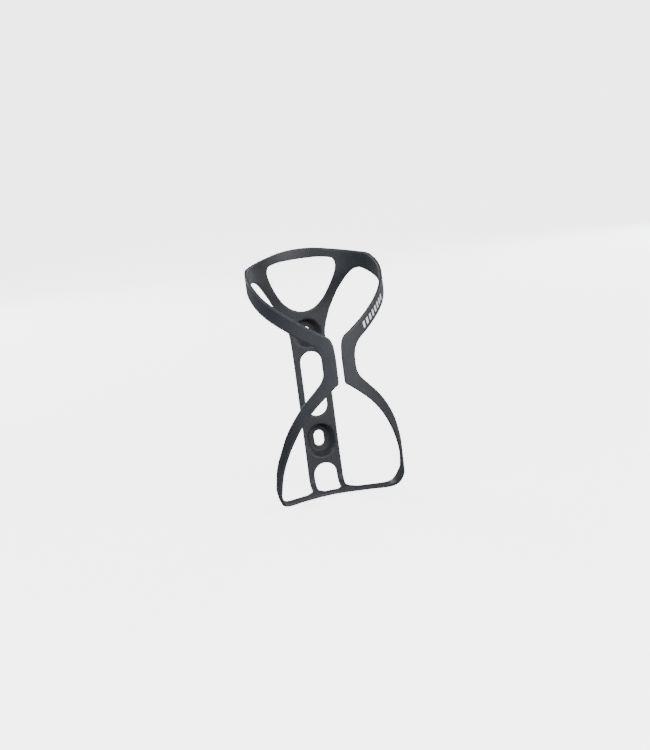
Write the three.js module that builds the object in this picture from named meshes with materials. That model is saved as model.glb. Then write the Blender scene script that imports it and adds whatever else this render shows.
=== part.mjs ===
// Moulded composite water bottle cage, in millimetres, +Z up along the bottle, +Y towards the bicycle frame.
// The cage is laid up from flat members that wrap round the bottle: a bolted spine, a yoke, a crown,
// two sprung arms that meet at a waist in front, and a base strap that the bottle stands on.
// Inside the group the bottle's axis is the Z axis; the group is then shifted so that the finished
// part's origin is midway between the two frame bolts, on the face that touches the frame.
import * as THREE from 'three';
import { mergeVertices } from 'three/addons/utils/BufferGeometryUtils.js';

// Driving dimensions
const WALL = 1.8;                // laminate thickness
const EDGE_BREAK = 0.4;          // depth of the broken edges of the bent members
const EDGE_SHARE = 0.05;         // width of a broken edge, as a share of the member's width
const GAP = 0.3;                 // clearance between neighbouring members
const HOOP_RADIUS = 36.5;        // outer face of arms and crown, relaxed
const CROWN_SET_BACK = 1.0;      // the crown's centre sits this far behind the arms' centre
const SPINE_FRONT = 36.2;        // front face of the spine, from the bottle's axis
const BOLT_SPACING = 64;         // the two frame bolts of every bottle cage
const BOLT_MIDDLE_HEIGHT = -10.6;  // midway between the bolts, from the cage's middle
const SEAT_FLOOR_FRONT = 42.2;   // where a bolt head lands
const FRAME_FACE = 44;           // the seats' backs, which touch the frame
const SEAT_RIM_RADIUS = 8.5;
const SEAT_FLOOR_RADIUS = 5.9;
const SEAT_RIM_LAND = 0.6;       // flat lip round the dish
const SEAT_BACK_MARGIN = 1.2;    // how far the seat's back reaches past its floor
const BOLT_HOLE_RADIUS = 2.9;
const LOWER_SEAT_STRETCH = 1.8;  // half of the straight part of the lower, slotted seat
const BASE_UNDERSIDE = -72;      // lowest face of the base strap, at its middle
const SLIT_ANGLE = 2.4;          // half of the gap between the arms at the waist, in degrees

// Lengthwise divisions of the bent members, and divisions of the outlines and the seats
const ARM_STEPS = 84, CROWN_STEPS = 72, YOKE_STEPS = 24, STRAP_STEPS = 72, FOOT_STEPS = 24;
const SIDE_POINTS = 20, CURVE_SEGMENTS = 18, SEAT_SEGMENTS = 40;

// The two seats; the lower one is slotted, to take up the tolerance of the frame's bolt spacing
const SEATS = [
  { name: 'upper_bolt_seat', height: BOLT_MIDDLE_HEIGHT + BOLT_SPACING / 2, stretch: 0 },
  { name: 'lower_bolt_seat', height: BOLT_MIDDLE_HEIGHT - BOLT_SPACING / 2, stretch: LOWER_SEAT_STRETCH }];

const LAMINATE_ROUGHNESS = 0.5, SEAT_ROUGHNESS = 0.6;
const charcoal = (roughness) => new THREE.MeshStandardMaterial({ color: 0x2b2c30, roughness, metalness: 0 });
const radians = THREE.MathUtils.degToRad;
const smoothstep = THREE.MathUtils.smoothstep;
const spline = (points) => new THREE.SplineCurve(points.map(([a, b]) => new THREE.Vector2(a, b)));

// A point on the hoop: angle in degrees from the front towards +X, about a centre set back by `back`.
function onHoop(angle, height, back = 0) {
  const a = radians(angle);
  return new THREE.Vector3(HOOP_RADIUS * Math.sin(a), back - HOOP_RADIUS * Math.cos(a), height);
}

// The section of a bent member: a strip with its four edges broken, of width 1 and depth WALL.
function stripSection() {
  const edge = 0.5, face = edge - EDGE_SHARE;
  const s = new THREE.Shape();
  s.moveTo(-edge, -EDGE_BREAK).lineTo(-edge, EDGE_BREAK - WALL).lineTo(-face, -WALL);
  s.lineTo(face, -WALL).lineTo(edge, EDGE_BREAK - WALL).lineTo(edge, -EDGE_BREAK);
  s.lineTo(face, 0).lineTo(0, 0).lineTo(-face, 0);
  return s;
}

// A member that follows a surface: across runs 0 to 1 over its width and along runs 0 to 1 over its
// length. Depth is laid off square to the surface, on the side that `inward` points to.
function member(name, surface, inward, steps) {
  const geometry = new THREE.ExtrudeGeometry(stripSection(), { depth: 1, steps, bevelEnabled: false });
  const position = geometry.getAttribute('position');
  const before = (share) => Math.max(share - 1e-3, 0);
  const after = (share) => Math.min(share + 1e-3, 1);
  for (let i = 0; i < position.count; i++) {
    const across = position.getX(i) + 0.5, depth = -position.getY(i), along = position.getZ(i);
    const point = surface(across, along);
    const sideways = surface(after(across), along).sub(surface(before(across), along));
    const onward = surface(across, after(along)).sub(surface(across, before(along)));
    const normal = sideways.cross(onward).normalize();
    if (normal.dot(inward(point)) < 0) normal.negate();
    point.addScaledVector(normal, depth);
    position.setXYZ(i, point.x, point.y, point.z);
  }
  return solid(name, geometry);
}

// A named mesh with merged vertices and its faces pointing out.
function solid(name, geometry, roughness = LAMINATE_ROUGHNESS) {
  geometry.deleteAttribute('normal');
  geometry.deleteAttribute('uv');
  const merged = mergeVertices(geometry, 1e-4);
  if (signedVolume(merged) < 0) flip(merged);
  merged.computeVertexNormals();
  const mesh = new THREE.Mesh(merged, charcoal(roughness));
  mesh.name = name;
  return mesh;
}

function signedVolume(geometry) {
  const p = geometry.getAttribute('position'), index = geometry.getIndex();
  const [a, b, c] = [new THREE.Vector3(), new THREE.Vector3(), new THREE.Vector3()];
  let volume = 0;
  for (let i = 0; i < index.count; i += 3) {
    a.fromBufferAttribute(p, index.getX(i));
    b.fromBufferAttribute(p, index.getX(i + 1));
    c.fromBufferAttribute(p, index.getX(i + 2));
    volume += a.dot(b.cross(c)) / 6;
  }
  return volume;
}

function flip(geometry) {
  const index = geometry.getIndex();
  for (let i = 0; i < index.count; i += 3) {
    const first = index.getX(i);
    index.setX(i, index.getX(i + 2));
    index.setX(i + 2, first);
  }
}

const towardsAxis = (p) => new THREE.Vector3(-p.x, -p.y, 0);

// Arms: each runs from the crown, down the front to the waist, and back out to the base strap.
// Both edges are (angle from the front, height) pairs, paired square across the arm.
const ARM_INNER_EDGE = [
  [97.5, 62.4], [86.5, 59.6], [76.3, 56.3], [64.7, 51.9], [50.6, 46.7], [35.5, 40.9], [22.3, 35.6],
  [12.1, 31.4], [6, 28.8], [3.3, 24.8], [SLIT_ANGLE, 18], [SLIT_ANGLE, 10.5], [2.5, 6], [3.1, 4.1], [6.3, 2.7],
  [14.8, -1.7], [26.1, -8.1], [38.2, -16.6], [49.1, -25.9], [57.6, -33.7], [64.4, -40.4], [69.4, -45.7],
  [73.1, -50.6], [75.9, -54.7], [78.9, -58.4]];
const ARM_OUTER_EDGE = [
  [97.5, 52.1], [90.3, 50.6], [82.7, 48.3], [72, 44.6], [58, 39.8], [43, 34.7], [29, 29.4], [21, 26.1],
  [16.7, 22.9], [14.7, 19.2], [14.2, 15.5], [14.5, 10.9], [16, 8], [17.6, 6.3], [19.6, 4.8], [25.8, 0.8],
  [35, -5], [46, -13.1], [56.5, -21.9], [65.1, -30.5], [72.4, -37], [77.5, -41.9], [80.9, -46.1],
  [83.6, -50], [87.5, -54.5]];

function arm(name, side) {
  const inner = spline(ARM_INNER_EDGE), outer = spline(ARM_OUTER_EDGE);
  const surface = (across, along) => {
    const at = inner.getPoint(along).lerp(outer.getPoint(along), across);
    return onHoop(side * at.x, at.y);
  };
  return member(name, surface, towardsAxis, ARM_STEPS);
}

// Crown: the hoop behind the bottle's neck, from arm to arm.
const CROWN_TOP_EDGE = [
  [98, 62.5], [108, 64.6], [120, 65.3], [134, 66.4], [150, 67.9], [164, 69.3], [180, 69.9]];
const CROWN_LOWER_EDGE = [
  [98, 52.2], [108, 54.2], [119.5, 56.3], [133, 59.3], [146.5, 62.1], [160, 63.7], [180, 64]];

function crown() {
  const top = spline(CROWN_TOP_EDGE), lower = spline(CROWN_LOWER_EDGE);
  const surface = (across, along) => {
    const side = along < 0.5 ? -1 : 1;
    const reach = 1 - Math.abs(2 * along - 1);
    const at = top.getPoint(reach).lerp(lower.getPoint(reach), across);
    return onHoop(side * at.x, at.y, CROWN_SET_BACK);
  };
  return member('crown_band', surface, towardsAxis, CROWN_STEPS);
}

// Yoke: two legs that lean forward out of the flat spine and spread into the crown.
// Edges are (distance from the middle along the surface, height).
const YOKE_INNER_EDGE = [
  [8.8, 37.5], [11.7, 40.4], [14.6, 44.6], [17.9, 50], [20.5, 55], [21.5, 58.8], [21.5, 61.3]];
const YOKE_OUTER_EDGE = [
  [14.8, 33.3], [17.7, 38.7], [20.5, 43.5], [24.1, 48.1], [28.2, 52.3], [32.6, 55], [38.4, 55.7]];
const LEAN_START = 32, LEAN_END = 56;

function yokeLeg(name, side) {
  const inner = spline(YOKE_INNER_EDGE), outer = spline(YOKE_OUTER_EDGE);
  const surface = (across, along) => {
    const at = inner.getPoint(along).lerp(outer.getPoint(along), across);
    const flat = new THREE.Vector3(side * at.x, SPINE_FRONT + WALL, at.y);
    const angle = 180 - THREE.MathUtils.radToDeg(at.x / HOOP_RADIUS);
    return flat.lerp(onHoop(side * angle, at.y, CROWN_SET_BACK), smoothstep(at.y, LEAN_START, LEAN_END));
  };
  return member(name, surface, () => new THREE.Vector3(0, -1, 0), YOKE_STEPS);
}

// Base strap: leaves each arm, turns under the bottle and runs back to the middle. The edges are
// the underside's, from the middle to the +X arm.
const STRAP_FRONT_EDGE = [
  [0, 21.4, BASE_UNDERSIDE], [3.5, 21.3, BASE_UNDERSIDE], [7, 20.8, BASE_UNDERSIDE], [14, 16.6, -71.1],
  [21, 11.2, -69.9], [27, 6, -68.9], [31.1, 2.3, -67.6], [33.6, -0.8, -65.6], [34.8, -4, -62.7],
  [35.62, -6.85, -59.1]];
const STRAP_REAR_EDGE = [
  [0, 27.2, BASE_UNDERSIDE], [3.5, 27.1, BASE_UNDERSIDE], [7.6, 26.2, BASE_UNDERSIDE], [15, 22.4, -71],
  [22.5, 17.1, -69.9], [28.6, 12, -68.6], [32.2, 8.8, -66.7], [34.3, 5.7, -63.4], [35.6, 2, -59],
  [36.4, -1.4, -55.15]];

function baseStrap() {
  const curve = (points) => new THREE.CatmullRomCurve3(points.map((p) => new THREE.Vector3(...p)));
  const front = curve(STRAP_FRONT_EDGE), rear = curve(STRAP_REAR_EDGE);
  const surface = (across, along) => {
    const reach = Math.abs(2 * along - 1);
    const point = front.getPoint(reach).lerp(rear.getPoint(reach), across);
    if (along < 0.5) point.x = -point.x;
    return point;
  };
  const wellInside = BASE_UNDERSIDE + 14;
  const inward = (p) => new THREE.Vector3(-p.x, 0, wellInside - p.z);
  return member('base_strap', surface, inward, STRAP_STEPS);
}

// Spine: the flat plate that is bolted to the frame. Its outline is drawn in X and Z.
const SPINE_BOTTOM = -64;        // below this the two legs carry on as the feet
const SPINE_SIDE = [
  [10.3, SPINE_BOTTOM], [10.2, -45], [10.1, -5], [10.4, 18], [11.6, 25], [14.3, 33]];
const WINDOW_CORNER = [8.5, 37.2], WINDOW_BOTTOM = 34;
const SLOT_HALF_WIDTH = 6.2, SLOT_TOP = 10.4, SLOT_BOTTOM = -27.7;
const ARCH_HALF_WIDTH = 6.7, ARCH_TOP = -56.6;

function slot(halfWidth, bottom, top) {
  const path = new THREE.Path();
  path.absarc(0, top - halfWidth, halfWidth, 0, Math.PI, false);
  path.absarc(0, bottom + halfWidth, halfWidth, Math.PI, 2 * Math.PI, false);
  return path;
}

function spine() {
  const side = spline(SPINE_SIDE).getPoints(SIDE_POINTS);
  const outline = new THREE.Shape();
  outline.moveTo(ARCH_HALF_WIDTH, SPINE_BOTTOM);
  side.forEach((p) => outline.lineTo(p.x, p.y));
  outline.lineTo(...WINDOW_CORNER);
  outline.quadraticCurveTo(WINDOW_CORNER[0] / 2, WINDOW_BOTTOM, 0, WINDOW_BOTTOM);
  outline.quadraticCurveTo(-WINDOW_CORNER[0] / 2, WINDOW_BOTTOM, -WINDOW_CORNER[0], WINDOW_CORNER[1]);
  side.reverse().forEach((p) => outline.lineTo(-p.x, p.y));
  outline.lineTo(-ARCH_HALF_WIDTH, SPINE_BOTTOM);
  outline.absarc(0, ARCH_TOP - ARCH_HALF_WIDTH, ARCH_HALF_WIDTH, Math.PI, 0, true);
  const seatHole = SEAT_RIM_RADIUS + GAP;
  outline.holes.push(slot(SLOT_HALF_WIDTH, SLOT_BOTTOM, SLOT_TOP));
  for (const { height, stretch } of SEATS) {
    outline.holes.push(slot(seatHole, height - seatHole - stretch, height + seatHole + stretch));
  }
  const extrusion = { depth: WALL, bevelEnabled: false, curveSegments: CURVE_SEGMENTS };
  const geometry = new THREE.ExtrudeGeometry(outline, extrusion);
  geometry.rotateX(Math.PI / 2);
  geometry.translate(0, SPINE_FRONT + WALL, 0);
  return solid('spine_plate', geometry);
}

// Bolt seats: dished cups that stand out of the spine's back and meet the frame.
function boltSeat({ name, height, stretch }) {
  const profile = [
    [SEAT_RIM_RADIUS, SPINE_FRONT], [SEAT_RIM_RADIUS - SEAT_RIM_LAND, SPINE_FRONT],
    [SEAT_FLOOR_RADIUS, SEAT_FLOOR_FRONT], [BOLT_HOLE_RADIUS, SEAT_FLOOR_FRONT],
    [BOLT_HOLE_RADIUS, FRAME_FACE], [SEAT_FLOOR_RADIUS + SEAT_BACK_MARGIN, FRAME_FACE],
    [SEAT_RIM_RADIUS, SPINE_FRONT + WALL], [SEAT_RIM_RADIUS, SPINE_FRONT]];
  const geometry = new THREE.LatheGeometry(profile.map(([r, y]) => new THREE.Vector2(r, y)), SEAT_SEGMENTS);
  const position = geometry.getAttribute('position');
  for (let i = 0; i < position.count; i++) {
    const z = position.getZ(i);
    if (Math.abs(z) > 1e-3) position.setZ(i, z + Math.sign(z) * stretch);
  }
  geometry.translate(0, 0, height);
  return solid(name, geometry, SEAT_ROUGHNESS);
}

// Feet: below the arch the spine's two legs turn forward under the bottle and meet the base strap.
// Edges are (distance from the middle, distance on from the start of the bend along the outer face).
const BEND_START = -64.4, BEND_RADIUS = 7, BEND_ANGLE = radians(84);
const FOOT_INNER_EDGE = [[6.7, -0.1], [6.7, 4], [6.7, 8], [6.6, 11.5], [6.1, 12.8], [4.6, 14.3]];
const FOOT_OUTER_EDGE = [[10.3, -0.1], [10.3, 4], [10.3, 8], [10.5, 11.6], [11.3, 13.9], [13.3, 16.5]];
// Past the bend the base climbs from its middle outwards.
const BASE_RISE = 0.9, RISE_START = 7, RISE_END = 15, RISE_BLEND_START = -2, RISE_BLEND_END = 3;

function foot(name, side) {
  const inner = spline(FOOT_INNER_EDGE), outer = spline(FOOT_OUTER_EDGE);
  const bendLength = BEND_RADIUS * BEND_ANGLE;
  const surface = (across, along) => {
    const at = inner.getPoint(along).lerp(outer.getPoint(along), across);
    const turned = THREE.MathUtils.clamp(at.y / BEND_RADIUS, 0, BEND_ANGLE);
    const beyond = Math.max(at.y - bendLength, 0), before = Math.min(at.y, 0);
    const y = SPINE_FRONT + WALL - BEND_RADIUS * (1 - Math.cos(turned)) - beyond * Math.sin(BEND_ANGLE);
    const z = BEND_START - before - BEND_RADIUS * Math.sin(turned) - beyond * Math.cos(BEND_ANGLE);
    const onBase = smoothstep(at.y - bendLength, RISE_BLEND_START, RISE_BLEND_END);
    const rise = BASE_RISE * smoothstep(at.x, RISE_START, RISE_END) * onBase;
    return new THREE.Vector3(side * at.x, y, z + rise);
  };
  const inward = (p) => new THREE.Vector3(0, -p.y, SPINE_BOTTOM - p.z + 1);
  return member(name, surface, inward, FOOT_STEPS);
}

const cage = new THREE.Group();
cage.add(spine());
SEATS.forEach((seat) => cage.add(boltSeat(seat)));
cage.add(yokeLeg('left_yoke_leg', -1), yokeLeg('right_yoke_leg', 1));
cage.add(crown());
cage.add(arm('left_arm', -1), arm('right_arm', 1));
cage.add(foot('left_foot', -1), foot('right_foot', 1));
cage.add(baseStrap());
cage.position.set(0, -FRAME_FACE, -BOLT_MIDDLE_HEIGHT);

const part = new THREE.Group();
part.add(cage);
export default part;
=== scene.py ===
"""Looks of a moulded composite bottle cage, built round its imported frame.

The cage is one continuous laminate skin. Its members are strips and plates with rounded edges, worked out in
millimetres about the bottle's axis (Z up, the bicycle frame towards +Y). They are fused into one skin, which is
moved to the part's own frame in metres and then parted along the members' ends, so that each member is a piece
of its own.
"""
import math

import bmesh
import bpy
import numpy as np
from mathutils import Matrix, Vector
from mathutils.kdtree import KDTree


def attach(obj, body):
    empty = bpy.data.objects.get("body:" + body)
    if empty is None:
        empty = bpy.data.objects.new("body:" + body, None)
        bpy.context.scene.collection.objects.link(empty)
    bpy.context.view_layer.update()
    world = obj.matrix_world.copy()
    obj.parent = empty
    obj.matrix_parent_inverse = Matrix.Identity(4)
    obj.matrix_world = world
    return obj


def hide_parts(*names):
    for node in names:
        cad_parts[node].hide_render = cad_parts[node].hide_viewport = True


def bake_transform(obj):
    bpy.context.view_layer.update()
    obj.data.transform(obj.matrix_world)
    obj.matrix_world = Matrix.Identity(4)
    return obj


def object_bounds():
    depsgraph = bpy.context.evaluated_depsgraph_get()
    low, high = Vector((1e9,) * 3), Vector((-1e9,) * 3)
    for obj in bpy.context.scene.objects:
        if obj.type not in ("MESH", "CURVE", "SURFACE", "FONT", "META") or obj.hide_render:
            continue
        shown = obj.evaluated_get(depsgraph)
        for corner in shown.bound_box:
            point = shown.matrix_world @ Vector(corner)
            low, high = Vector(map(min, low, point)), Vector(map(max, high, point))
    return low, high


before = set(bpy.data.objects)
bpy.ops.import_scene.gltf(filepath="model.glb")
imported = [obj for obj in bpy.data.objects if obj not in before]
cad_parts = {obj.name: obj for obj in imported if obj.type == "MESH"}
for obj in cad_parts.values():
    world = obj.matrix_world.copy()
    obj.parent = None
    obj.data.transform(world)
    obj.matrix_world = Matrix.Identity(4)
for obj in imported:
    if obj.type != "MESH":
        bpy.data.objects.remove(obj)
cad_low, cad_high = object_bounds()

# Driving dimensions, in millimetres
WALL = 1.8                  # laminate thickness
EDGE_RADIUS = 0.65          # round on every laminate edge
HOOP_RADIUS = 36.5          # outer face of the arms and the crown
CROWN_SET_BACK = 1.0        # the crown's centre is this far behind the arms' centre
SET_BACK_START, SET_BACK_END = 80, 115   # degrees from the front over which the hoop steps back
SPINE_FRONT = 36.2          # front face of the spine, from the bottle's axis
BOLT_SPACING = 64.0
BOLT_MIDDLE_HEIGHT = -10.6  # midway between the bolts, from the cage's middle
SEAT_FLOOR_FRONT = 42.2     # where a bolt head lands
FRAME_FACE = 44.0           # the seats' backs, which touch the bicycle frame
SEAT_RIM_RADIUS = 8.5
SEAT_FLOOR_RADIUS = 5.9
BOLT_HOLE_RADIUS = 2.9
LOWER_SEAT_STRETCH = 1.8    # half of the straight part of the lower, slotted seat
BASE_UNDERSIDE = -72.0      # lowest face of the base strap, at its middle
SLIT_ANGLE = 2.4            # half of the gap between the arms at the waist, in degrees
VOXEL = 0.32                # grid on which the members fuse into one skin
SMOOTHING, SMOOTHING_PASSES = 0.5, 6
ROW_STEP = 0.6              # distance between the rows of a strip
ROUND_POINTS, FACE_POINTS = 6, 16   # points on an edge's quarter turn, and across a face with its ends
LENGTH_SAMPLES = 400        # points on which a strip's length is measured
SLOPE_STEP = 0.01           # share of a strip's width over which its slope is measured
SIDE_POINTS = 60            # points on the curve of the spine's side
TURNS = 96                  # steps round a lathed form
LAYER_STEP = 10.0           # keeps one strip's fibre places apart from the next one's
MM = 0.001
TO_PART = Matrix.Scale(MM, 4) @ Matrix.Translation((0, -FRAME_FACE, -BOLT_MIDDLE_HEIGHT))

# Edges of the members. On the hoop a point is (angle from the front in degrees, height).
ARM_INNER_EDGE = [
    (97.5, 62.4), (86.5, 59.6), (76.3, 56.3), (64.7, 51.9), (50.6, 46.7), (35.5, 40.9), (22.3, 35.6),
    (12.1, 31.4), (6, 28.8), (3.3, 24.8), (SLIT_ANGLE, 18), (SLIT_ANGLE, 10.5), (2.5, 6), (3.1, 4.1), (6.3, 2.7),
    (14.8, -1.7), (26.1, -8.1), (38.2, -16.6), (49.1, -25.9), (57.6, -33.7), (64.4, -40.4), (69.4, -45.7),
    (73.1, -50.6), (75.9, -54.7), (78.9, -58.4)]
ARM_OUTER_EDGE = [
    (97.5, 52.1), (90.3, 50.6), (82.7, 48.3), (72, 44.6), (58, 39.8), (43, 34.7), (29, 29.4),
    (21, 26.1), (16.7, 22.9), (14.7, 19.2), (14.2, 15.5), (14.5, 10.9), (16, 8), (17.6, 6.3), (19.6, 4.8),
    (25.8, 0.8), (35, -5), (46, -13.1), (56.5, -21.9), (65.1, -30.5), (72.4, -37), (77.5, -41.9),
    (80.9, -46.1), (83.6, -50), (87.5, -54.5)]
CROWN_TOP_EDGE = [(108, 64.6), (120, 65.3), (134, 66.4), (150, 67.9), (164, 69.3), (180, 69.9)]
CROWN_LOWER_EDGE = [(108, 54.2), (119.5, 56.3), (133, 59.3), (146.5, 62.1), (160, 63.7), (180, 64)]
# On the yoke a point is (distance from the middle along the surface, height).
YOKE_INNER_EDGE = [
    (5.8, 33.5), (8.8, 37.5), (11.7, 40.4), (14.6, 44.6), (17.9, 50), (20.5, 55), (21.5, 58.8), (20.6, 61.7),
    (18.2, 64.2)]
YOKE_OUTER_EDGE = [
    (12.3, 27.1), (14.8, 33.3), (17.7, 38.7), (20.5, 43.5), (24.1, 48.1), (28.2, 52.3), (32.8, 55.3), (38.6, 56.3),
    (43.5, 55.9)]
LEAN_START, LEAN_END = 32, 56                 # heights between which it leans back to the hoop
# The base strap's underside, from the middle to the arm and a little way up it: (x, y, height).
STRAP_FRONT_EDGE = [
    (0, 21.4, BASE_UNDERSIDE), (7, 20.8, BASE_UNDERSIDE), (14, 16.6, -71.1), (21, 11.2, -69.9), (27, 6, -68.9),
    (31.1, 2.3, -67.6), (33.6, -0.8, -65.6), (34.8, -4, -62.7), (35.82, -7.03, -58.4), (35.4, -8.9, -54.7)]
STRAP_REAR_EDGE = [
    (0, 27.2, BASE_UNDERSIDE), (7.6, 26.2, BASE_UNDERSIDE), (15, 22.4, -71), (22.5, 17.1, -69.9), (28.6, 12, -68.6),
    (32.2, 8.8, -66.7), (34.3, 5.7, -63.4), (35.6, 2, -59), (36.47, -1.59, -54.5), (36.27, -4.07, -50)]
# The feet's edges: (distance from the middle, distance on from the start of the bend along the outer face).
FOOT_INNER_EDGE = [
    (6.7, -4), (6.7, 0), (6.7, 4), (6.7, 8), (6.6, 11.5), (6.1, 12.8), (5.3, 13.7), (4.1, 14.9), (2.4, 16.2)]
FOOT_OUTER_EDGE = [
    (10.3, -4), (10.3, 0), (10.3, 4), (10.3, 8), (10.5, 11.6), (11.3, 13.9), (12.5, 15.6), (14, 17.3), (15.9, 19.2)]
BEND_START, BEND_RADIUS, BEND_ANGLE = -64.4, 7, math.radians(84)
BASE_RISE, RISE_START, RISE_END = 0.9, 7, 15   # how the base climbs from its middle outwards
RISE_BEFORE, RISE_AFTER = 2, 3                # the feet climb with it from before the bend's end to after it
# The spine's outline, in X and Z.
SPINE_BOTTOM = -65.0
SPINE_SIDE = [(10.3, SPINE_BOTTOM), (10.2, -45), (10.1, -5), (10.4, 18), (11.6, 25), (14.3, 33)]
WINDOW_CORNER, WINDOW_BOTTOM = (8.5, 37.2), 34.0
SLOT_HALF_WIDTH, SLOT_TOP, SLOT_BOTTOM = 6.2, 10.4, -27.7
ARCH_HALF_WIDTH, ARCH_TOP = 6.7, -56.6
# The seats: (height, half of the straight part).
SEATS = [(BOLT_MIDDLE_HEIGHT + BOLT_SPACING / 2, 0.0), (BOLT_MIDDLE_HEIGHT - BOLT_SPACING / 2, LOWER_SEAT_STRETCH)]
# The inner faces of the strap and the feet look towards these heights.
STRAP_INSIDE, FOOT_INSIDE = BASE_UNDERSIDE + 14, SPINE_BOTTOM + 1


# ---- Curves and surfaces ----

def spline(points, share):
    """A Catmull-Rom curve through the points; share runs from 0 to 1 over all of them."""
    p = np.asarray(points, float)
    last = len(p) - 1
    place = np.clip(share, 0, 1) * last
    i = np.minimum(place.astype(int), last - 1)
    w = (place - i)[:, None]
    a, b, c, d = p[np.maximum(i - 1, 0)], p[i], p[i + 1], p[np.minimum(i + 2, last)]
    enter, leave = (c - a) / 2, (d - b) / 2
    return (2 * b - 2 * c + enter + leave) * w**3 + (3 * c - 3 * b - 2 * enter - leave) * w**2 + enter * w + b


def smoothstep(x, low, high):
    """0 below low and 1 above high, with a smooth change between them."""
    t = np.clip((x - low) / (high - low), 0, 1)
    return t * t * (3 - 2 * t)


# A surface turns places on a member, such as (angle, height), into points.

def on_hoop(at):
    """(angle in degrees, height) to a point on the hoop, whose centre is set back at the crown."""
    angle = np.radians(at[..., 0])
    from_front = 180 - np.abs(180 - np.abs(at[..., 0]))
    back = CROWN_SET_BACK * smoothstep(from_front, SET_BACK_START, SET_BACK_END)
    return np.stack([HOOP_RADIUS * np.sin(angle), back - HOOP_RADIUS * np.cos(angle), at[..., 1]], -1)


def on_yoke(at):
    """(distance from the middle, height) to a point that leans from the spine's flat back to the hoop."""
    side, height = at[..., 0], at[..., 1]
    flat = np.stack([side, np.full_like(side, SPINE_FRONT + WALL), height], -1)
    angle = np.sign(side) * (180 - np.degrees(np.abs(side) / HOOP_RADIUS))
    hoop = on_hoop(np.stack([angle, height], -1))
    return flat + (hoop - flat) * smoothstep(height, LEAN_START, LEAN_END)[..., None]


def on_foot(at):
    """(distance from the middle, distance on from the bend's start) to a point that turns forward to the base."""
    side, run = at[..., 0], at[..., 1]
    length = BEND_RADIUS * BEND_ANGLE
    turned = np.clip(run / BEND_RADIUS, 0, BEND_ANGLE)
    before, beyond = np.minimum(run, 0), np.maximum(run - length, 0)
    y = SPINE_FRONT + WALL - BEND_RADIUS * (1 - np.cos(turned)) - beyond * math.sin(BEND_ANGLE)
    z = BEND_START - before - BEND_RADIUS * np.sin(turned) - beyond * math.cos(BEND_ANGLE)
    rise = BASE_RISE * smoothstep(np.abs(side), RISE_START, RISE_END) * smoothstep(
        run, length - RISE_BEFORE, length + RISE_AFTER)
    return np.stack([side, y, z + rise], -1)


# Which way is inwards, from points on a surface. Only the side matters, not the length.

def towards_axis(p):
    return p * (-1, -1, 0)


def forward(p):
    return np.broadcast_to((0.0, -1.0, 0.0), p.shape)


def up_and_in(p):
    return np.stack([-p[..., 0], 0 * p[..., 1], STRAP_INSIDE - p[..., 2]], -1)


def up_and_forward(p):
    return np.stack([0 * p[..., 0], -p[..., 1], FOOT_INSIDE - p[..., 2]], -1)


# ---- Members ----

def strip_section(width):
    """Shares across and depths round a rounded strip, for each row's width."""
    turn = np.linspace(0, math.pi / 2, ROUND_POINTS)
    inset, sink = EDGE_RADIUS * (1 - np.sin(turn)), EDGE_RADIUS * (1 - np.cos(turn))
    face = np.linspace(0, 1, FACE_POINTS)[1:-1]
    inset, w = inset[None], width[:, None]
    rim = EDGE_RADIUS / w
    across = np.hstack([
        rim + face * (1 - 2 * rim), 1 - inset / w, 1 - inset[:, ::-1] / w,
        1 - rim - face * (1 - 2 * rim), inset / w, inset[:, ::-1] / w])
    flat = np.zeros(len(face))
    depth = np.concatenate([flat, sink, WALL - sink[::-1], WALL - flat, WALL - sink, sink[::-1]])
    return across, depth


def strip(first_edge, second_edge, surface, inward):
    """A strip of laminate between two paired edges on a surface.

    Gives its points, its faces, its fibre places (distance across, distance along and depth, in millimetres) and, at
    each point, the matrix from a step to a change of place.
    """
    rough = surface(spline(first_edge, np.linspace(0, 1, LENGTH_SAMPLES)))
    rows = int(np.linalg.norm(np.diff(rough, axis=0), axis=1).sum() / ROW_STEP)
    along = np.linspace(0, 1, rows + 1)
    a, b = spline(first_edge, along), spline(second_edge, along)
    width = np.linalg.norm(surface(b) - surface(a), axis=1)
    across, depth = strip_section(width)
    count = across.shape[1]

    def at(share):
        return surface(a[:, None] + (b - a)[:, None] * share[..., None])

    low, high = np.clip(across - SLOPE_STEP, 0, 1), np.clip(across + SLOPE_STEP, 0, 1)
    point = at(across)
    travel = np.concatenate([[0], np.cumsum(np.linalg.norm(np.diff(point.mean(1), axis=0), axis=1))])
    sideways = (at(high) - at(low)) / ((high - low) * width[:, None])[..., None]
    onward = np.gradient(point, travel, axis=0)
    normal = np.cross(sideways, onward)
    normal /= np.linalg.norm(normal, axis=-1, keepdims=True)
    normal *= np.sign((normal * inward(point)).sum(-1, keepdims=True))
    fibre = np.stack(np.broadcast_arrays(across * width[:, None], travel[:, None], depth[None]), -1)
    change = np.linalg.inv(np.stack([sideways, onward, normal], -1))
    point = point + normal * depth[None, :, None]
    faces = [(i * count + k, i * count + (k + 1) % count, (i + 1) * count + (k + 1) % count, (i + 1) * count + k)
             for i in range(rows) for k in range(count)]
    faces.append(tuple(range(count))[::-1])
    faces.append(tuple(rows * count + k for k in range(count)))
    return point.reshape(-1, 3), faces, fibre.reshape(-1, 3), change.reshape(-1, 3, 3)


def hoop_strip():
    """Left arm, crown and right arm in one run, from one end of the base strap to the other."""
    inner = ARM_INNER_EDGE[::-1] + CROWN_TOP_EDGE
    outer = ARM_OUTER_EDGE[::-1] + CROWN_LOWER_EDGE
    inner += [(360 - angle, height) for angle, height in inner[-2::-1]]
    outer += [(360 - angle, height) for angle, height in outer[-2::-1]]
    return strip(inner, outer, on_hoop, towards_axis)


def mirrored(edge):
    """The same edge on the other side of the middle."""
    return [(-p[0], *p[1:]) for p in edge]


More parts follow.
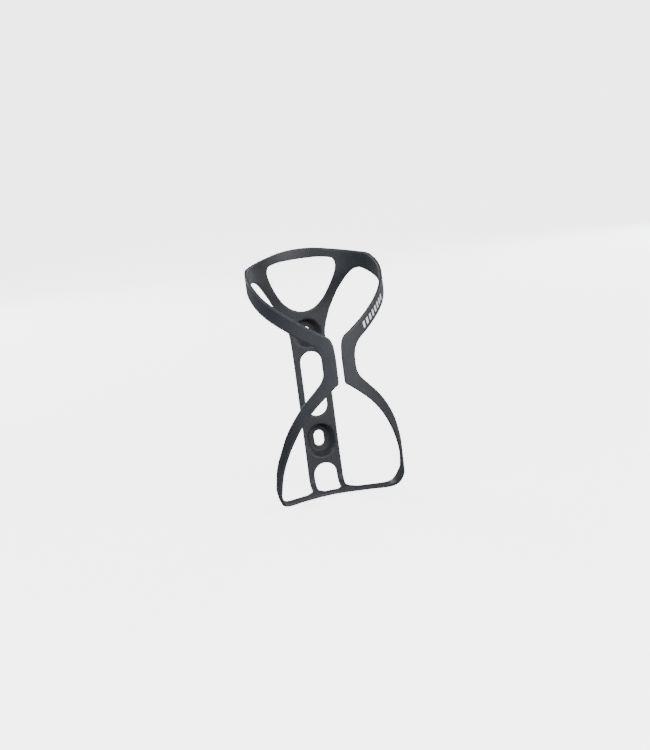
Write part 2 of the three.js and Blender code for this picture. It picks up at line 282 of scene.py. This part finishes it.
def base_strap():
    front = mirrored(STRAP_FRONT_EDGE)[:0:-1] + STRAP_FRONT_EDGE
    rear = mirrored(STRAP_REAR_EDGE)[:0:-1] + STRAP_REAR_EDGE
    return strip(front, rear, lambda at: at, up_and_in)


def arc(centre, radius, start, end, steps=24):
    """Points on an arc between two angles in degrees."""
    turn = np.radians(np.linspace(start, end, steps + 1))
    return [(centre[0] + radius * math.cos(t), centre[1] + radius * math.sin(t)) for t in turn]


def quadratic(a, b, c, steps=12):
    """Points on a curve from a to c that leaves and arrives in line with b."""
    a, b, c = np.array(a), np.array(b), np.array(c)
    return [tuple((1 - t)**2 * a + 2 * t * (1 - t) * b + t * t * c) for t in np.linspace(0, 1, steps + 1)]


def slot(half_width, bottom, top):
    """The outline of an upright slot with round ends."""
    return arc((0, top - half_width), half_width, 0, 180) + arc((0, bottom + half_width), half_width, 180, 360)


def plate(outlines, to_place):
    """A flat plate with rounded edges from its outline and holes, placed by a matrix: points, faces."""
    curve = bpy.data.curves.new("plate", "CURVE")
    curve.dimensions = "2D"
    curve.fill_mode = "BOTH"
    curve.extrude = WALL / 2 - EDGE_RADIUS
    curve.bevel_depth = EDGE_RADIUS
    curve.bevel_resolution = 3
    curve.offset = -EDGE_RADIUS
    for outline in outlines:
        path = curve.splines.new("POLY")
        path.points.add(len(outline) - 1)
        path.points.foreach_set("co", [v for x, y in outline for v in (x, y, 0, 1)])
        path.use_cyclic_u = True
    holder = bpy.data.objects.new("plate", curve)
    bpy.context.scene.collection.objects.link(holder)
    mesh = bpy.data.meshes.new_from_object(holder.evaluated_get(bpy.context.evaluated_depsgraph_get()))
    mesh.transform(to_place)
    points = np.array([v.co for v in mesh.vertices])
    faces = [tuple(p.vertices) for p in mesh.polygons]
    bpy.data.objects.remove(holder)
    bpy.data.meshes.remove(mesh)
    return points, faces


def spine_plate():
    side = [tuple(p) for p in spline(SPINE_SIDE, np.linspace(0, 1, SIDE_POINTS))]
    bottom_left = (-WINDOW_CORNER[0] / 2, WINDOW_BOTTOM)
    outline = [(ARCH_HALF_WIDTH, SPINE_BOTTOM)] + side
    outline += quadratic(WINDOW_CORNER, (WINDOW_CORNER[0] / 2, WINDOW_BOTTOM), (0, WINDOW_BOTTOM))
    outline += quadratic((0, WINDOW_BOTTOM), bottom_left, (-WINDOW_CORNER[0], WINDOW_CORNER[1]))[1:]
    outline += mirrored(side)[::-1] + [(-ARCH_HALF_WIDTH, SPINE_BOTTOM)]
    outline += arc((0, ARCH_TOP - ARCH_HALF_WIDTH), ARCH_HALF_WIDTH, 180, 0)
    hole = SEAT_RIM_RADIUS + EDGE_RADIUS
    holes = [slot(SLOT_HALF_WIDTH, SLOT_BOTTOM, SLOT_TOP)]
    holes += [slot(hole, height - hole - stretch, height + hole + stretch) for height, stretch in SEATS]
    upright = Matrix.Translation((0, SPINE_FRONT + WALL / 2, 0)) @ Matrix.Rotation(math.pi / 2, 4, "X")
    return plate([outline] + holes, upright)


def bolt_seat(height, stretch):
    """A dished cup that stands out of the spine's back; its flange runs into the spine."""
    flange = SEAT_RIM_RADIUS + 2.2 * EDGE_RADIUS
    profile = [     # (radius, Y); the small steps are the rounds at its corners
        # the flange's front, and the rim
        (flange, SPINE_FRONT), (SEAT_RIM_RADIUS + 0.3, SPINE_FRONT), (SEAT_RIM_RADIUS - 0.2, SPINE_FRONT + 0.2),
        # down the dish's wall to its floor
        (SEAT_RIM_RADIUS - 0.6, SPINE_FRONT + 0.7), (SEAT_FLOOR_RADIUS + 0.25, SEAT_FLOOR_FRONT - 0.5),
        (SEAT_FLOOR_RADIUS, SEAT_FLOOR_FRONT - 0.15), (SEAT_FLOOR_RADIUS - 0.4, SEAT_FLOOR_FRONT),
        # through the bolt hole
        (BOLT_HOLE_RADIUS + 0.2, SEAT_FLOOR_FRONT), (BOLT_HOLE_RADIUS, SEAT_FLOOR_FRONT + 0.2),
        (BOLT_HOLE_RADIUS, FRAME_FACE),
        # out over the back, and up the cup's outside to the flange
        (SEAT_FLOOR_RADIUS + 0.9, FRAME_FACE), (SEAT_FLOOR_RADIUS + 1.3, FRAME_FACE - 0.3),
        (SEAT_RIM_RADIUS + 0.1, SPINE_FRONT + WALL + 0.3), (SEAT_RIM_RADIUS + 0.6, SPINE_FRONT + WALL),
        (flange, SPINE_FRONT + WALL)]
    count = len(profile)
    points, faces = [], []
    for i in range(TURNS):
        angle = 2 * math.pi * (i + 0.5) / TURNS
        onward = (i + 1) % TURNS
        for k, (radius, y) in enumerate(profile):
            z = radius * math.sin(angle)
            points.append((radius * math.cos(angle), y, height + z + math.copysign(stretch, z)))
            n = (k + 1) % count
            faces.append((i * count + k, i * count + n, onward * count + n, onward * count + k))
    return np.array(points), faces


# ---- One skin round all the members ----

STRIP_REACH = 2 * VOXEL     # a point of the skin this near a strip takes its place in the laminate from it
FULL_LIFT = 0.03            # a point this far out from its neighbours' mean is on a fully rounded edge
ROUNDING_PASSES = 2         # smoothing of that measure

def fuse(members):
    """One smooth closed skin round all the members, still in millimetres."""
    bm = bmesh.new()
    for member in members:
        part = bpy.data.meshes.new("member")
        part.from_pydata([tuple(p) for p in member[0]], [], member[1])
        bm.from_mesh(part)
        bpy.data.meshes.remove(part)
    bmesh.ops.recalc_face_normals(bm, faces=bm.faces)
    joined = bpy.data.meshes.new("members")
    bm.to_mesh(joined)
    bm.free()
    holder = bpy.data.objects.new("members", joined)
    bpy.context.scene.collection.objects.link(holder)
    remesh = holder.modifiers.new("fuse", "REMESH")
    remesh.mode, remesh.voxel_size, remesh.use_smooth_shade = "VOXEL", VOXEL, True
    smooth = holder.modifiers.new("smooth", "SMOOTH")
    smooth.factor, smooth.iterations = SMOOTHING, SMOOTHING_PASSES
    skin = bpy.data.meshes.new_from_object(holder.evaluated_get(bpy.context.evaluated_depsgraph_get()))
    bpy.data.objects.remove(holder)
    return skin


def array_of(collection, name, width=3, kind=float):
    """One property of everything in a Blender collection, as an array."""
    values = np.zeros(len(collection) * width, kind)
    collection.foreach_get(name, values)
    return values.reshape(-1, width) if width > 1 else values


def neighbour_mean(values, edges):
    """Each point's mean over the points that share an edge with it."""
    total = np.zeros_like(values)
    np.add.at(total, edges[:, 0], values[edges[:, 1]])
    np.add.at(total, edges[:, 1], values[edges[:, 0]])
    count = np.bincount(edges.ravel(), minlength=len(values))
    return total / count.reshape(-1, *[1] * (values.ndim - 1))


def mark_surface(skin, strips):
    """Writes what the materials read: where each point lies in the laminate, and how rounded the skin is there.

    Away from every strip, on the spine, the fibres run upwards.
    """
    points, normals = array_of(skin.vertices, "co"), array_of(skin.vertices, "normal")
    edges = array_of(skin.edges, "vertices", 2, np.int32)
    places = np.column_stack([points[:, 0], points[:, 2] + points[:, 1], np.zeros(len(points))])
    for layer, (strip_points, _, fibre, change) in enumerate(strips, 1):
        tree = KDTree(len(strip_points))
        for i, p in enumerate(strip_points):
            tree.insert(p, i)
        tree.balance()
        low, high = strip_points.min(0) - 1, strip_points.max(0) + 1
        near = np.flatnonzero(((points > low) & (points < high)).all(1))
        for v in near:
            _, i, distance = tree.find(points[v])
            if distance < STRIP_REACH:
                places[v] = fibre[i] + change[i] @ (points[v] - strip_points[i]) + (0, 0, LAYER_STEP * layer)
    lift = ((points - neighbour_mean(points, edges)) * normals).sum(1)
    rounding = np.clip(lift / FULL_LIFT, -1, 1)
    for _ in range(ROUNDING_PASSES):
        rounding = neighbour_mean(rounding, edges)
    skin.attributes.new("fibre", "FLOAT_VECTOR", "POINT").data.foreach_set("vector", places.ravel())
    skin.attributes.new("rounding", "FLOAT", "POINT").data.foreach_set("value", rounding)
    skin.attributes.new("skin_normal", "FLOAT_VECTOR", "POINT").data.foreach_set("vector", normals.ravel())


strips = [
    hoop_strip(),
    strip(YOKE_INNER_EDGE, YOKE_OUTER_EDGE, on_yoke, forward),
    strip(mirrored(YOKE_INNER_EDGE), mirrored(YOKE_OUTER_EDGE), on_yoke, forward),
    strip(FOOT_INNER_EDGE, FOOT_OUTER_EDGE, on_foot, up_and_forward),
    strip(mirrored(FOOT_INNER_EDGE), mirrored(FOOT_OUTER_EDGE), on_foot, up_and_forward),
    base_strap()]
skin = fuse(strips + [spine_plate()] + [bolt_seat(*seat) for seat in SEATS])
mark_surface(skin, strips)
skin.transform(TO_PART)


# ---- Pieces: the skin parted along the members' ends ----

def hoop_point(angle, height, radius=HOOP_RADIUS):
    """A point on the hoop, or nearer the axis on the same radius."""
    return tuple(on_hoop(np.array([angle, height], float)) * (radius / HOOP_RADIUS, radius / HOOP_RADIUS, 1))


class Cut:
    """A plane through three points on the +X side, in millimetres.

    Its front is the side that `front` is on. It parts the faces within `reach` of its centre, on both sides.
    """

    def __init__(self, a, b, c, front, reach):
        self.centre = (Vector(a) + Vector(b)) / 2
        self.normal = (Vector(b) - Vector(a)).cross(Vector(c) - Vector(a)).normalized()
        if (Vector(front) - self.centre).dot(self.normal) < 0:
            self.normal = -self.normal
        self.reach = reach

    def is_before(self, p):
        """Whether a point on the +X side is at the cut's front."""
        return (p - self.centre).dot(self.normal) > 0

    def part(self, bm, near, side):
        """Splits the faces that are near the cut along its plane, on the +X side or mirrored."""
        flip = Vector((side, 1, 1))
        geometry = set(near)
        for face in near:
            geometry.update(face.edges)
            geometry.update(face.verts)
        bmesh.ops.bisect_plane(bm, geom=list(geometry), dist=1e-7, plane_co=TO_PART @ (self.centre * flip),
                               plane_no=self.normal * flip)


# Where the members part: two points on the member's outer face, one under them, one at the front, and the reach
crown_end = Cut(hoop_point(97.75, 51.9), hoop_point(97.75, 62.6), hoop_point(97.75, 57, 20), (0, 30, 57), 9)
strap_end = Cut((35.82, -7.03, -58.4), (36.47, -1.59, -54.5), (30, -4.3, -56.4), (36, -20, 0), 7)
yoke_top = Cut(hoop_point(148.29, 62.6), hoop_point(122.7, 55.9), hoop_point(135.5, 59.25, 20), (0, 36, 90), 14)
yoke_bottom = Cut((8.6, 37, 37.4), (14.7, 37, 33.2), (14.7, 30, 33.2), (20, 37, 60), 7)
foot_top = Cut((6.7, 37, -64), (10.3, 37, -64), (10.3, 30, -64), (8, 37, -80), 5)
foot_end = Cut((4.5, 27.45, -71), (14.3, 24.3, -71), (14.3, 24.3, -60), (8, 36, -71), 7.5)
WINDOW_TOP, WINDOW_HALF_WIDTH = 62.5, 18      # above and within these the hoop is crown, not yoke
FOOT_REACH = 17                               # the spine and its feet are nearer the middle than this


def member_at(p):
    """The member that a point in millimetres belongs to."""
    side = "right_" if p.x > 0 else "left_"
    q = Vector((abs(p.x), p.y, p.z))
    if not crown_end.is_before(q):
        return side + "arm" if strap_end.is_before(q) else "strap"
    if yoke_bottom.is_before(q) and q.z > 0:
        in_crown = yoke_top.is_before(q) or (q.z > WINDOW_TOP and q.x < WINDOW_HALF_WIDTH)
        return "crown" if in_crown else side + "yoke"
    if q.x > FOOT_REACH:
        return "strap"
    if not foot_top.is_before(q):
        return "spine"
    return side + "foot" if foot_end.is_before(q) else "strap"


def piece_of(bm, name, member):
    """A closed piece from one member's faces, shaded at its ends as the whole skin is."""
    part = bm.copy()
    tag = part.faces.layers.int["member"]
    bmesh.ops.delete(part, geom=[f for f in part.faces if f[tag] != member], context="FACES")
    rims = [e for e in part.edges if e.is_boundary]
    skin_faces = len(part.faces)
    bmesh.ops.holes_fill(part, edges=rims, sides=0)
    part.faces.index_update()
    mesh = bpy.data.meshes.new(name)
    part.to_mesh(mesh)
    part.free()
    kept = array_of(mesh.attributes["skin_normal"].data, "vector")
    kept /= np.linalg.norm(kept, axis=1, keepdims=True)
    corners = array_of(mesh.loops, "vertex_index", 1, np.int32)
    normals = kept[corners]
    for face in mesh.polygons[skin_faces:]:
        normals[face.loop_start:face.loop_start + face.loop_total] = face.normal
    mesh.polygons.foreach_set("use_smooth", [True] * len(mesh.polygons))
    mesh.normals_split_custom_set(normals.tolist())
    mesh.attributes.remove(mesh.attributes["skin_normal"])
    mesh.attributes.remove(mesh.attributes["member"])
    piece = bpy.data.objects.new(name, mesh)
    bpy.context.scene.collection.objects.link(piece)
    return piece


MEMBERS = ["spine", "left_yoke", "right_yoke", "crown", "left_arm", "right_arm", "strap", "left_foot", "right_foot"]


def part_skin(skin):
    """Every member's piece, by the member's name."""
    bm = bmesh.new()
    bm.from_mesh(skin)
    bm.faces.ensure_lookup_table()
    centres = array_of(skin.polygons, "center")
    jobs = []                                 # gathered first, because a cut adds faces
    for cut in (crown_end, strap_end, yoke_top, yoke_bottom, foot_top, foot_end):
        for side in (1, -1):
            away = np.linalg.norm(centres - TO_PART @ (cut.centre * Vector((side, 1, 1))), axis=1)
            jobs.append((cut, [bm.faces[i] for i in np.flatnonzero(away < cut.reach * MM)], side))
    for cut, near, side in jobs:
        cut.part(bm, near, side)
    tag = bm.faces.layers.int.new("member")
    to_bottle = TO_PART.inverted()
    for face in bm.faces:
        face[tag] = MEMBERS.index(member_at(to_bottle @ face.calc_center_median()))
    pieces = {name: piece_of(bm, name + "_shell", i) for i, name in enumerate(MEMBERS)}
    bm.free()
    return pieces


pieces = part_skin(skin)
bpy.data.meshes.remove(skin)


# ---- Materials ----

# The white bars on the right arm, in the arm's fibre places
BARS_START, BAR_PITCH, BAR_WIDTH, BAR_COUNT, BAR_SLANT = 111.0, 3.0, 1.5, 8, 0.45
BARS_LOW, BARS_HIGH, PRINT_SOFTNESS = 2.4, 5.4, 0.12
INK, INK_COVER = (0.72, 0.72, 0.74, 1), 0.9
# How fine each pattern is: across, along and through the laminate per millimetre, or per metre all ways
FILAMENT_SCALE, TOW_SCALE = (3.2, 0.06, 1), (0.55, 0.014, 1)
LACQUER_SCALE, RUB_SCALE, GRAIN_SCALE = 90.0, 420.0, 2600.0
FILAMENT_SHARE, LACQUER_SHARE = 0.6, 0.35     # of the streaks, which tows make up, and of the tone
TONE_DARK, TONE_LIGHT = 0.36, 0.64            # tones that take the dark and the light colour
RUBBED_LIFT = 2.2                             # how much lighter than the light colour a rubbed edge is
RUB_START, RUB_FULL = 0.25, 0.8               # how rounded an edge is where rubbing starts and is full
SPECULAR = 0.15
THICK_GLOSS, THIN_GLOSS = 0.17, 0.05          # taken off the roughness by thick and thin lacquer
STREAK_ROUGHNESS, RUB_ROUGHNESS = 0.22, 0.12  # added to the roughness
FILAMENT_RELIEF, GRAIN_RELIEF = 0.8, 0.35
BUMP_STRENGTH, BUMP_DEPTH = 0.5, 0.00003      # the depth is in metres


def laminate(name, dark, light, roughness, printed=False):
    """Satin unidirectional laminate: streaks along the fibres, uneven lacquer, and edges rubbed a little bare.

    A printed one has a row of plain white bars on the arm's outer face.
    """
    material = bpy.data.materials.new(name)
    material.use_nodes = True
    nodes, links = material.node_tree.nodes, material.node_tree.links
    shader = nodes["Principled BSDF"]
    shader.inputs["Specular IOR Level"].default_value = SPECULAR
    shader.inputs["Roughness"].default_value = roughness

    def feed(target, value):
        if isinstance(value, bpy.types.NodeSocket):
            links.new(value, target)
        else:
            target.default_value = value

    def node(kind, **inputs):
        made = nodes.new("ShaderNode" + kind)
        for socket, value in inputs.items():
            feed(made.inputs[socket.replace("_", " ")], value)
        return made

    def noise(vector, scale, detail, rough=0.6):
        return node("TexNoise", Vector=vector, Scale=scale, Detail=detail, Roughness=rough).outputs["Fac"]

    def combine(operation, a, b, c=0.0):
        made = nodes.new("ShaderNodeMath")
        made.operation = operation
        for target, value in zip(made.inputs, (a, b, c)):
            feed(target, value)
        return made.outputs[0]

    def over(share, under, top):
        """One colour over another, by a share."""
        made = nodes.new("ShaderNodeMix")
        made.data_type = "RGBA"
        links.new(share, made.inputs["Factor"])
        links.new(under, made.inputs["A"])
        made.inputs["B"].default_value = top
        return made.outputs["Result"]

    def ranged(value, low, high, to_low, to_high):
        made = node("MapRange", Value=value, From_Min=low, From_Max=high, To_Min=to_low, To_Max=to_high)
        return made.outputs["Result"]

    def edge(value, at):
        """0 below a place and 1 above it, over the softness of print."""
        return ranged(value, at - PRINT_SOFTNESS, at + PRINT_SOFTNESS, 0, 1)

    def attribute(called, output):
        made = nodes.new("ShaderNodeAttribute")
        made.attribute_name = called
        return made.outputs[output]

    fibre, rounding = attribute("fibre", "Vector"), attribute("rounding", "Fac")
    place = nodes.new("ShaderNodeTexCoord").outputs["Object"]
    filaments = noise(node("Mapping", Vector=fibre, Scale=FILAMENT_SCALE).outputs["Vector"], 1.0, 5.0, 0.7)
    tows = noise(node("Mapping", Vector=fibre, Scale=TOW_SCALE).outputs["Vector"], 1.0, 2.0)
    lacquer = noise(place, LACQUER_SCALE, 4.0)
    grain = noise(place, GRAIN_SCALE, 2.0)

    streak = combine("MULTIPLY_ADD", filaments, FILAMENT_SHARE, combine("MULTIPLY", tows, 1 - FILAMENT_SHARE))
    tone = combine("MULTIPLY_ADD", lacquer, LACQUER_SHARE, combine("MULTIPLY", streak, 1 - LACQUER_SHARE))
    shade = nodes.new("ShaderNodeValToRGB")
    for element, position, colour in zip(shade.color_ramp.elements, (TONE_DARK, TONE_LIGHT), (dark, light)):
        element.position, element.color = position, (*colour, 1)
    links.new(tone, shade.inputs["Fac"])
    patches = ranged(noise(place, RUB_SCALE, 3.0), 0.45, 0.7, 0.1, 0.55)
    rubbed = combine("MULTIPLY", ranged(rounding, RUB_START, RUB_FULL, 0, 1), patches)
    coloured = over(rubbed, shade.outputs["Color"], (*[RUBBED_LIFT * c for c in light], 1))
    if printed:
        across, along, depth = node("SeparateXYZ", Vector=fibre).outputs
        place_in_row = combine("MULTIPLY_ADD", across, BAR_SLANT, combine("SUBTRACT", along, BARS_START))
        row_left = combine("SUBTRACT", BAR_PITCH * BAR_COUNT, place_in_row)
        row = combine("MULTIPLY", edge(place_in_row, 0), edge(row_left, 0))
        beat = combine("PINGPONG", combine("ADD", place_in_row, BAR_PITCH / 2), BAR_PITCH / 2)
        bar = combine("MULTIPLY", row, edge(combine("SUBTRACT", BAR_WIDTH / 2, beat), 0))
        band = combine("MULTIPLY", edge(across, BARS_LOW), edge(combine("SUBTRACT", BARS_HIGH, across), 0))
        outer = combine("LESS_THAN", depth, LAYER_STEP + WALL / 3)
        ink = combine("MULTIPLY", combine("MULTIPLY", bar, band), combine("MULTIPLY", outer, INK_COVER))
        coloured = over(ink, coloured, INK)
    links.new(coloured, shader.inputs["Base Color"])

    gloss = ranged(lacquer, 0.3, 0.7, roughness - THICK_GLOSS, roughness - THIN_GLOSS)
    sheen = combine("MULTIPLY_ADD", streak, STREAK_ROUGHNESS, gloss)
    links.new(combine("MULTIPLY_ADD", rubbed, RUB_ROUGHNESS, sheen), shader.inputs["Roughness"])
    relief = combine("MULTIPLY_ADD", filaments, FILAMENT_RELIEF, combine("MULTIPLY", grain, GRAIN_RELIEF))
    bump = node("Bump", Height=relief, Strength=BUMP_STRENGTH, Distance=BUMP_DEPTH)
    links.new(bump.outputs["Normal"], shader.inputs["Normal"])
    return material


# slot: dark colour, light colour, roughness
FINISHES = {
    "spine_laminate": ((0.0240, 0.0245, 0.0270), (0.0360, 0.0365, 0.0400), 0.50),
    "crown_laminate": ((0.0235, 0.0240, 0.0265), (0.0360, 0.0365, 0.0400), 0.46),
    # The arm colours are a little bluer than the others: over the laminate's own dark colour, a painted cool tint
    # for the bluish fill light on the arms.
    "arm_laminate": ((0.0240, 0.0250, 0.0280), (0.0360, 0.0370, 0.0410), 0.52)}
materials = {slot_name: laminate(slot_name, *finish) for slot_name, finish in FINISHES.items()}
printed_laminate = laminate("arm_laminate_printed", *FINISHES["arm_laminate"], printed=True)
# member: material slot, CAD nodes it stands for
ROLES = {
    "spine": ("spine_laminate", ["spine_plate", "upper_bolt_seat", "lower_bolt_seat"]),
    "left_yoke": ("spine_laminate", ["left_yoke_leg"]), "right_yoke": ("spine_laminate", ["right_yoke_leg"]),
    "left_foot": ("spine_laminate", ["left_foot"]), "right_foot": ("spine_laminate", ["right_foot"]),
    "crown": ("crown_laminate", ["crown_band"]), "strap": ("arm_laminate", ["base_strap"]),
    "left_arm": ("arm_laminate", ["left_arm"]), "right_arm": ("arm_laminate", ["right_arm"])}
# The arms stay apart with their transforms baked in; every other piece goes with the cage's body.
for member, (slot_name, nodes_replaced) in ROLES.items():
    piece = pieces[member]
    piece.data.materials.append(printed_laminate if member == "right_arm" else materials[slot_name])
    if member.endswith("_arm"):
        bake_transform(piece)
    else:
        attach(piece, "cage_body")
    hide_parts(*nodes_replaced)


# ---- Stage, lights and camera ----

# In metres
FLOOR_CENTRE, FLOOR_RADIUS, FLOOR_BEND, FLOOR_WALL_TOP = 1e-5, 1.4, 1.0, 1.35
FLOOR_GLOW = 3.6
LIGHT_AIM = Vector((0, -0.044, 0.01))
# The photograph's camera: its frame, focal length and centre of view in pixels, and its angles in degrees
IMAGE_WIDTH, IMAGE_HEIGHT = 650, 750
FOCAL_LENGTH, VIEW_CENTRE = 1100.6, (326.89, 380.2)
AZIMUTH, ELEVATION, ROLL = 12.10, 11.90, 7.38
CAMERA_AIM, CAMERA_DISTANCE = Vector((0, -0.044, 0.0106)), 0.6
SENSOR = 36


def stage():
    """A pale, evenly lit floor that curves up into a low wall all round. It gives the object no light."""
    bend = [(FLOOR_RADIUS + FLOOR_BEND * math.sin(t), FLOOR_BEND * (1 - math.cos(t)))
            for t in np.linspace(0, math.pi / 2, 16)]
    profile = [(FLOOR_CENTRE, 0), *bend, (FLOOR_RADIUS + FLOOR_BEND, FLOOR_WALL_TOP)]
    count = len(profile)
    points = [(r * math.cos(2 * math.pi * i / TURNS), r * math.sin(2 * math.pi * i / TURNS), cad_low.z + z)
              for i in range(TURNS) for r, z in profile]
    faces = [(i * count + k, i * count + k + 1, (i + 1) % TURNS * count + k + 1, (i + 1) % TURNS * count + k)
             for i in range(TURNS) for k in range(count - 1)]
    mesh = bpy.data.meshes.new("floor")
    mesh.from_pydata(points, [], faces)
    mesh.polygons.foreach_set("use_smooth", [True] * len(mesh.polygons))
    floor = bpy.data.objects.new("floor", mesh)
    bpy.context.scene.collection.objects.link(floor)
    pale = bpy.data.materials.new("floor")
    pale.use_nodes = True
    surface = pale.node_tree.nodes["Principled BSDF"].inputs
    surface["Base Color"].default_value = (0.8, 0.8, 0.8, 1)
    surface["Roughness"].default_value = 0.9
    surface["Emission Color"].default_value = (1, 1, 1, 1)
    surface["Emission Strength"].default_value = FLOOR_GLOW
    mesh.materials.append(pale)
    floor.visible_diffuse = floor.visible_glossy = False


def area_light(name, place, size, power, colour=(1, 1, 1)):
    """A soft round light that looks at the object, out of the camera's sight."""
    data = bpy.data.lights.new(name, "AREA")
    data.shape, data.size, data.energy, data.color = "DISK", size, power, colour
    light = bpy.data.objects.new(name, data)
    bpy.context.scene.collection.objects.link(light)
    light.location = place
    light.visible_camera = False
    light.rotation_mode = "QUATERNION"
    light.rotation_quaternion = (LIGHT_AIM - Vector(place)).to_track_quat("-Z", "Y")


def camera():
    """The camera at the photograph's viewing angle."""
    azimuth, elevation, roll = (math.radians(a) for a in (AZIMUTH, ELEVATION, ROLL))
    back = Vector((-math.sin(azimuth) * math.cos(elevation), -math.cos(azimuth) * math.cos(elevation),
                   math.sin(elevation)))
    right = Vector((math.cos(azimuth), -math.sin(azimuth), 0))
    up = back.cross(right)
    across = right * math.cos(roll) - up * math.sin(roll)
    upward = right * math.sin(roll) + up * math.cos(roll)
    data = bpy.data.cameras.new("camera")
    data.sensor_width = SENSOR
    data.lens = SENSOR * FOCAL_LENGTH / IMAGE_HEIGHT
    data.shift_x = (IMAGE_WIDTH / 2 - VIEW_CENTRE[0]) / IMAGE_HEIGHT
    data.shift_y = (VIEW_CENTRE[1] - IMAGE_HEIGHT / 2) / IMAGE_HEIGHT
    data.clip_start, data.clip_end = 0.01, 20
    view = bpy.data.objects.new("camera", data)
    bpy.context.scene.collection.objects.link(view)
    turned = Matrix((across, upward, back)).transposed().to_4x4()
    view.matrix_world = Matrix.Translation(CAMERA_AIM + back * CAMERA_DISTANCE) @ turned
    bpy.context.scene.camera = view


stage()
camera()
# name, place, diameter, power in watts and colour
area_light("key", (0.62, -1.0, 0.32), 0.8, 23)
area_light("front", (0.15, -1.2, 0.6), 0.8, 8)
area_light("fill", (-0.95, -0.7, 0.45), 0.7, 13.5, (0.80, 0.89, 1.0))
area_light("back_key", (-0.7, 1.15, 0.55), 0.8, 22)
area_light("back_fill", (0.95, 0.85, 0.35), 0.8, 10, (0.86, 0.93, 1.0))
world = bpy.data.worlds.new("world")
bpy.context.scene.world = world
world.use_nodes = True
background = world.node_tree.nodes["Background"].inputs
background["Color"].default_value = (1, 1, 1, 1)
background["Strength"].default_value = 0.17
